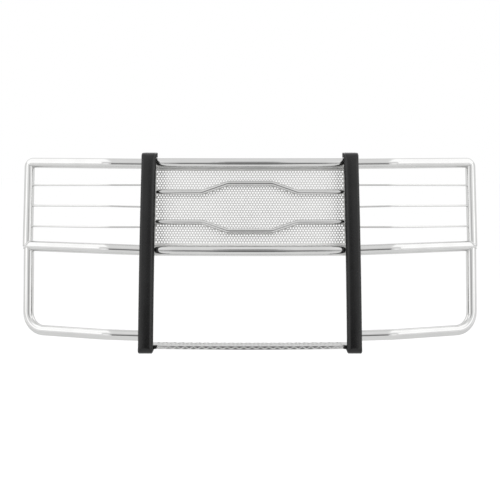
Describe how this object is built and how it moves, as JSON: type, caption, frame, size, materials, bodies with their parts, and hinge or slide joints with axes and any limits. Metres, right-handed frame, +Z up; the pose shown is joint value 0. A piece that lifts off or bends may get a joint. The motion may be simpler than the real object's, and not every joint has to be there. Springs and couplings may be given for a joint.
{
  "type": "front grille guard",
  "caption": "Bolt-on truck front guard: rubber-faced uprights, swept tube wings, a punched centre sheet behind bent bars, and a tread-plate step.",
  "frame": {"origin": "middle of the four frame bolts, in the rear face of the frame brackets", "axes": "+Z up, -Y towards the front of the truck (the side that the rubber pads face), +X to the right seen from the front"},
  "size_m": [2.0096, 0.4474, 0.831],
  "materials": {
    "polished_tube": "mirror-polished stainless steel tube, with fine lengthwise polishing marks",
    "polished_plate": "polished stainless steel plate",
    "punched_sheet": "polished stainless sheet punched with round holes in staggered rows",
    "tread_plate": "bright tread plate with raised lugs",
    "rubber_pad": "matte black moulded rubber with a fine grain",
    "black_bracket": "satin black powder coat",
    "zinc_fastener": "zinc-plated steel"
  },
  "bodies": {
    "root": {"bracket_bolts": "zinc_fastener", "bracket_nuts": "zinc_fastener", "bracket_washers": "zinc_fastener", "centre_lower_tube": "polished_tube", "centre_top_tube": "polished_tube", "frame_bracket_left": "black_bracket", "frame_bracket_right": "black_bracket", "grille_panel": "punched_sheet", "lower_bent_bar": "polished_tube", "pad_left": "rubber_pad", "pad_nuts": "zinc_fastener", "pad_right": "rubber_pad", "pad_studs": "zinc_fastener", "pad_washers": "zinc_fastener", "panel_lower_strip": "polished_plate", "panel_top_strip": "polished_plate", "step_angle_left": "polished_plate", "step_angle_right": "polished_plate", "step_nuts": "zinc_fastener", "step_plate": "tread_plate", "step_studs": "zinc_fastener", "step_washers": "zinc_fastener", "upper_bent_bar": "polished_tube", "upright_left": "polished_plate", "upright_ribs_left": "polished_plate", "upright_ribs_right": "polished_plate", "upright_right": "polished_plate", "wing_corner_left": "polished_tube", "wing_corner_right": "polished_tube", "wing_end_post_left": "polished_tube", "wing_end_post_right": "polished_tube", "wing_lower_loop_left": "polished_tube", "wing_lower_loop_right": "polished_tube", "wing_mid_cap_left": "polished_tube", "wing_mid_cap_right": "polished_tube", "wing_mid_tube_left": "polished_tube", "wing_mid_tube_right": "polished_tube", "wing_rod_lower_left": "polished_tube", "wing_rod_lower_right": "polished_tube", "wing_rod_middle_left": "polished_tube", "wing_rod_middle_right": "polished_tube", "wing_rod_upper_left": "polished_tube", "wing_rod_upper_right": "polished_tube", "wing_top_tube_left": "polished_tube", "wing_top_tube_right": "polished_tube"}
  },
  "joints": []
}
